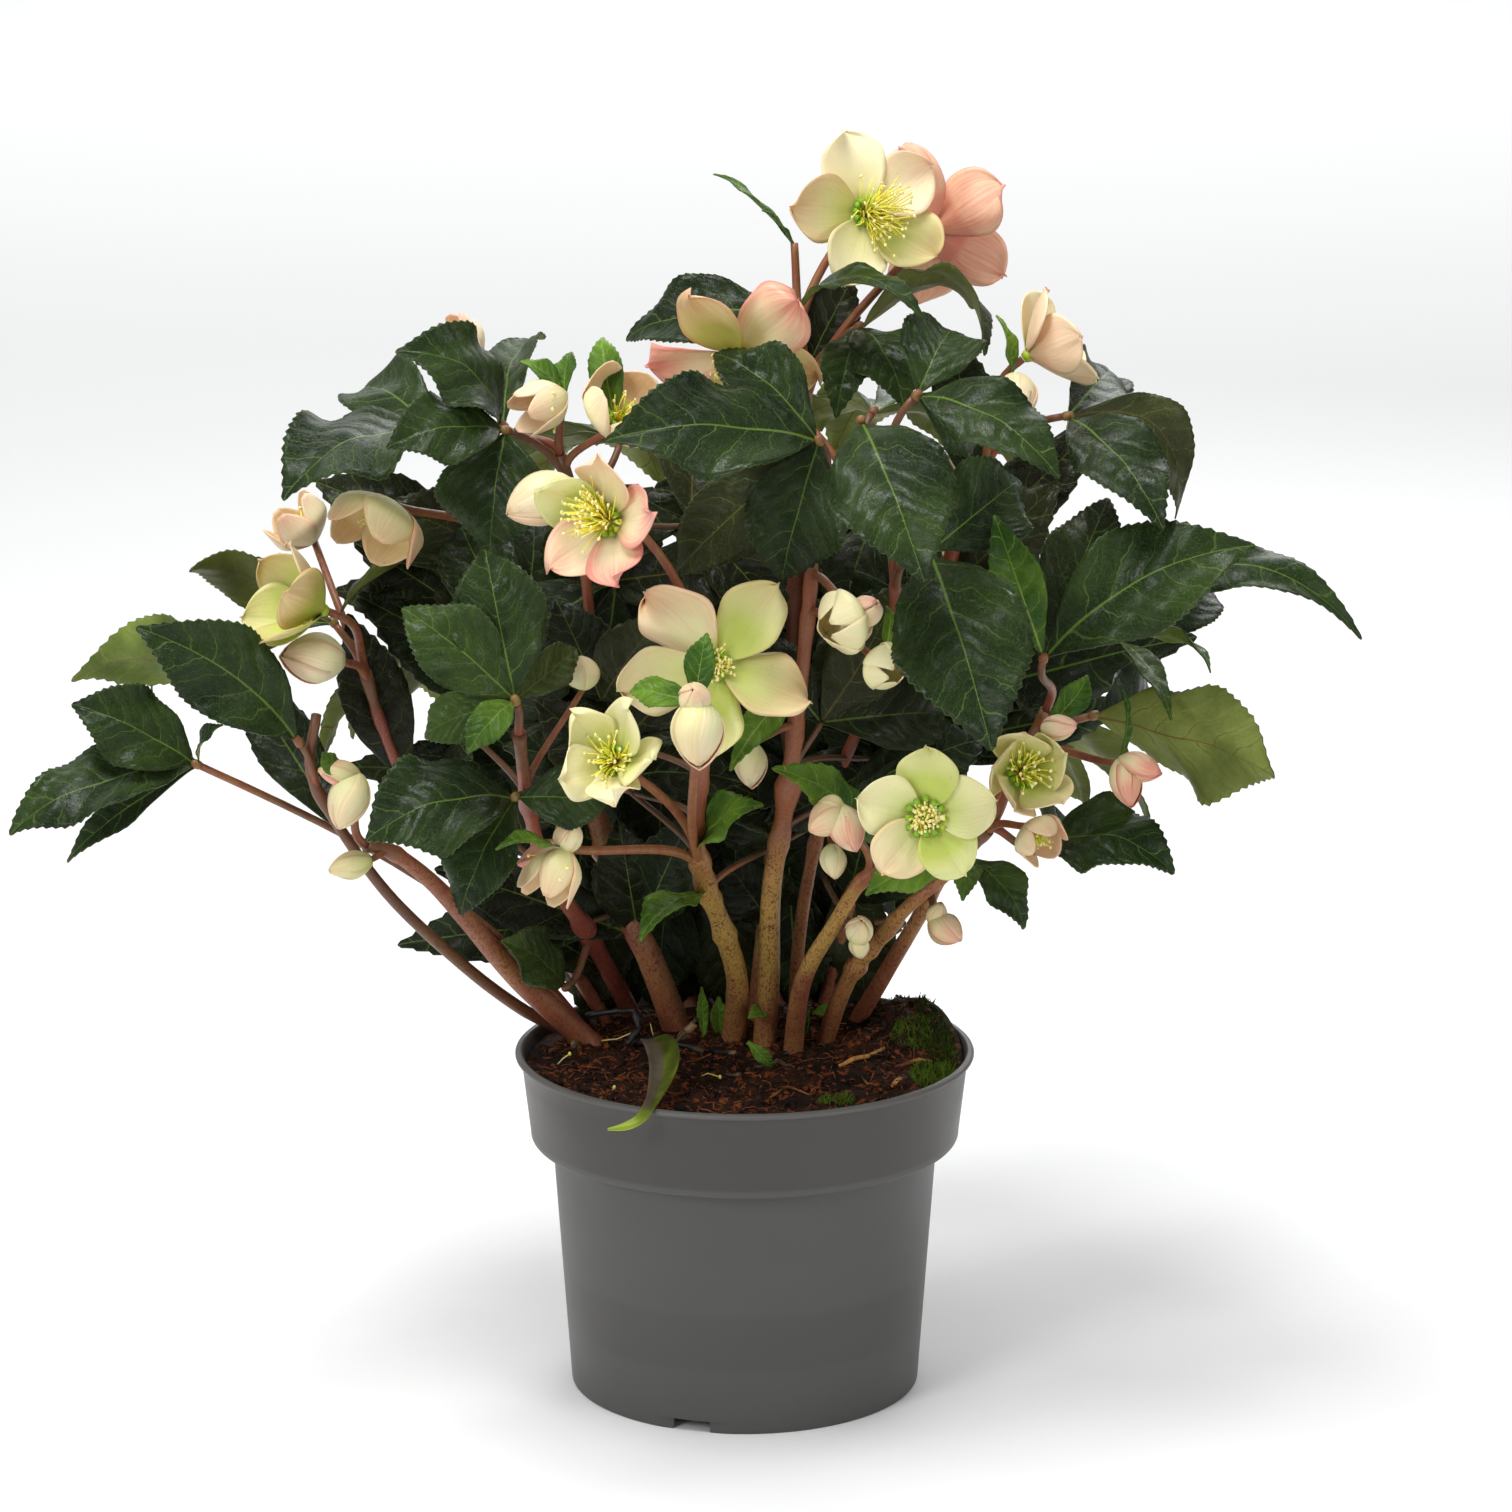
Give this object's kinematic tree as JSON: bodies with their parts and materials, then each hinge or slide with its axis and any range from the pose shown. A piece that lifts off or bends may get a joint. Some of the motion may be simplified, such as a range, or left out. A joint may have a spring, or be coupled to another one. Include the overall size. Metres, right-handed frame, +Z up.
{
  "type": "potted hellebore plant",
  "caption": "Hellebore in flower in a round plastic nursery pot: toothed dark leaves, arching stalks, cupped cream and pink blooms and hanging buds above peaty soil.",
  "frame": {"origin": "middle of the pot's flat underside, where it stands", "axes": "+Z up, -Y towards the viewer in front, +X to the viewer's right; the plant spreads widest along X"},
  "size_m": [0.5397, 0.3936, 0.5214],
  "materials": {
    "pot_plastic": "satin moulded dark grey polypropylene, paler at its worn edges",
    "potting_soil": "rough dark red-brown peat with fibres, chips and a little moss",
    "stem": "smooth, olive-tan to red-brown, finely mottled",
    "leaf": "leathery and glossy above, paler and dull below, pale net of veins",
    "petal": "soft satin, cream to green and pink with faint veins",
    "stamen": "yellow threads with cream heads"
  },
  "bodies": {
    "root": {"pot": "pot_plastic", "soil": "potting_soil", "stem_01": "stem", "stem_02": "stem", "stem_03": "stem", "stem_04": "stem", "stem_05": "stem", "stem_06": "stem", "stem_07": "stem", "stem_08": "stem", "stem_09": "stem", "stem_10": "stem", "stem_11": "stem", "stem_12": "stem", "stem_13": "stem", "stem_14": "stem", "stem_15": "stem", "stem_16": "stem", "leaf_01": "leaf", "leaf_02": "leaf", "leaf_03": "leaf", "leaf_04": "leaf", "leaf_05": "leaf", "leaf_06": "leaf", "leaf_07": "leaf", "leaf_08": "leaf", "leaf_09": "leaf", "leaf_10": "leaf", "leaf_11": "leaf", "leaf_12": "leaf", "leaf_13": "leaf", "leaf_14": "leaf", "leaf_15": "leaf", "leaf_16": "leaf", "leaf_17": "leaf", "leaf_18": "leaf", "leaf_19": "leaf", "leaf_20": "leaf", "leaf_21": "leaf", "leaf_22": "leaf", "leaf_23": "leaf", "leaf_24": "leaf", "leaf_25": "leaf", "leaf_26": "leaf", "bloom_01": "petal", "bloom_02": "petal", "bloom_03": "petal", "bloom_04": "petal", "bloom_05": "petal", "bloom_06": "petal", "bloom_07": "petal", "bloom_08": "petal", "bloom_09": "petal", "bloom_10": "petal", "bloom_11": "petal", "bloom_12": "petal", "boss_01": "stamen", "boss_04": "stamen", "boss_05": "stamen", "boss_07": "stamen"}
  },
  "joints": []
}
